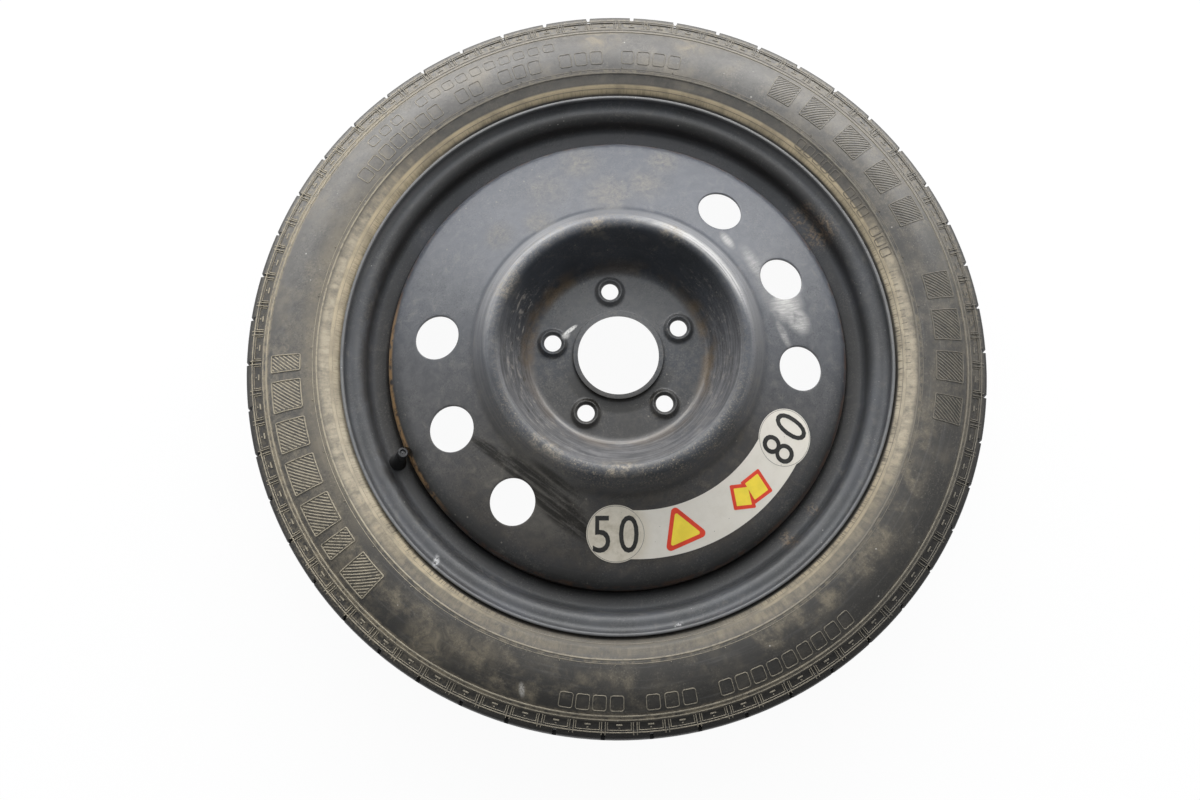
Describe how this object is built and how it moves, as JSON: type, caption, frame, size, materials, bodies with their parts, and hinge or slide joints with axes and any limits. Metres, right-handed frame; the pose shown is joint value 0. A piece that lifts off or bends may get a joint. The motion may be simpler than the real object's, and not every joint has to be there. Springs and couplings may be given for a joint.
{
  "type": "space saver spare wheel",
  "caption": "Narrow temporary tyre on a black welded steel wheel with a domed hub ring, vent holes, a capped rubber valve and a curved pale label.",
  "frame": {"origin": "centre of the bolt circle in the plane of the mounting face", "axes": "+Z is the wheel's axis towards the outboard face; the valve is on the -X side; the wheel lies on its inboard sidewall"},
  "size_m": [0.674, 0.674, 0.1754],
  "materials": {
    "tyre_rubber": "matt, dusty",
    "rim_paint": "worn satin black",
    "disc_paint": "worn satin black",
    "valve_rubber": "matt",
    "valve_brass": "dull",
    "core_steel": "plain",
    "cap_plastic": "matt",
    "label_film": "satin film"
  },
  "bodies": {
    "wheel": {"tyre": "tyre_rubber", "rim": "rim_paint", "disc": "disc_paint", "weld_beads": "rim_paint", "valve_body": "valve_rubber", "valve_stem": "valve_brass", "core_shell": "valve_brass", "core_spring": "core_steel", "speed_label": "label_film"},
    "valve_pin": {"core_pin": "core_steel", "core_seal": "valve_rubber"},
    "cap": {"valve_cap": "cap_plastic"}
  },
  "joints": [
    {"name": "cap_lifts_off", "type": "slide", "parent": "wheel", "child": "cap", "axis": [0.3007, 0, 0.9537], "range_m": [0, 0.02]},
    {"name": "valve_pin_press", "type": "slide", "parent": "wheel", "child": "valve_pin", "axis": [-0.3007, 0, -0.9537], "range_m": [0, 0.0012], "stiffness_N_per_m": 2000, "springref_m": -0.001, "deforming": ["core_spring"]}
  ]
}
